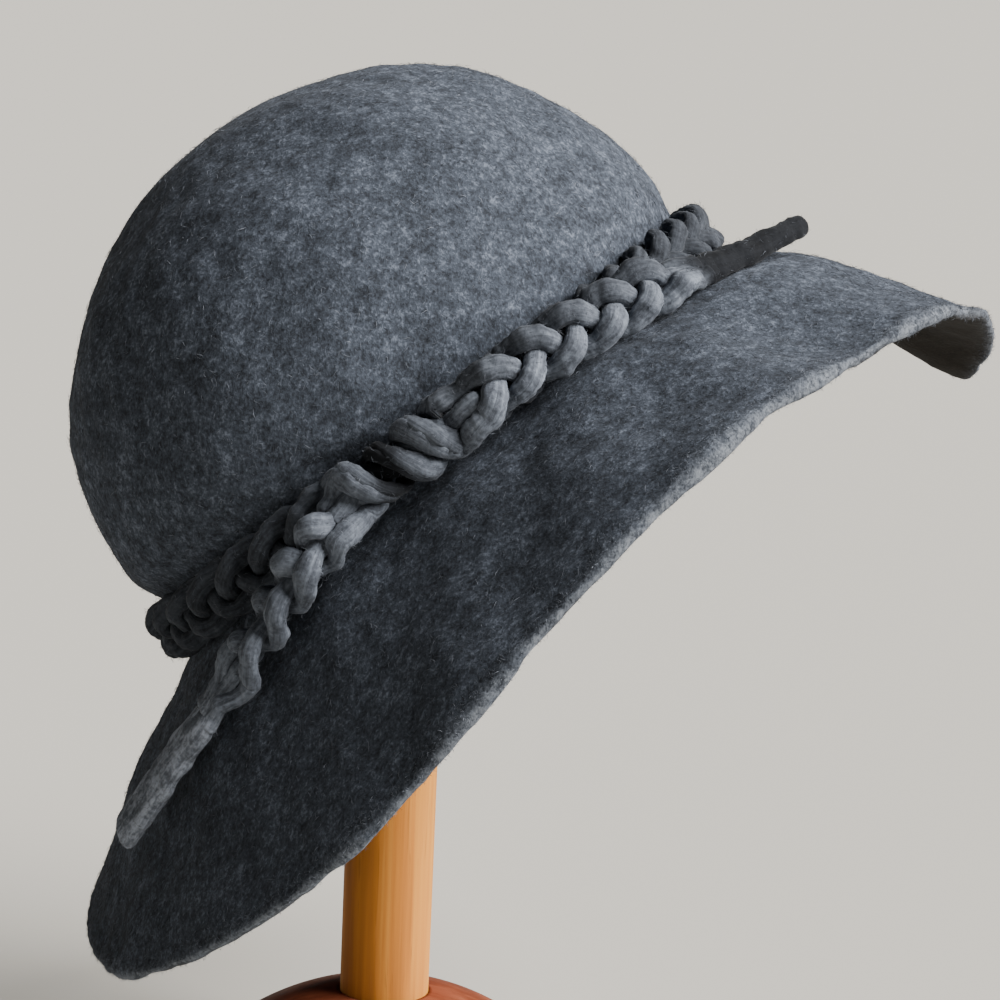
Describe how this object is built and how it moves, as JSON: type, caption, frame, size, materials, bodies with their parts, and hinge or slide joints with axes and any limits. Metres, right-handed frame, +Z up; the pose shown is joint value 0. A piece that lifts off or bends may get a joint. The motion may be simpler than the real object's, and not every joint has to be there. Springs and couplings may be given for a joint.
{
  "type": "wide-brim felt hat on a wooden stand",
  "caption": "Round-crowned wide-brim felt hat with a knotted, plaited felt band, resting tilted on a plain turned wooden stand with a domed base.",
  "frame": {"origin": "centre of the flat underside of the stand's base, where it rests on a surface", "axes": "+Z up along the stand's post, +X towards the side on which the tilted brim is lifted, -Y towards the knot of the plait"},
  "size_m": [0.2747, 0.3029, 0.3153],
  "materials": {
    "charcoal_felt": "matt mottled wool felt",
    "plait_felt": "matt hand-felted wool",
    "brown_wood": "glossy varnish",
    "honey_wood": "satin varnish"
  },
  "bodies": {
    "root": {"hat_body": "charcoal_felt", "plait_strand_1": "plait_felt", "plait_strand_2": "plait_felt", "plait_strand_3": "plait_felt", "stand_base": "brown_wood", "stand_post": "honey_wood", "stand_head": "honey_wood"}
  },
  "joints": []
}
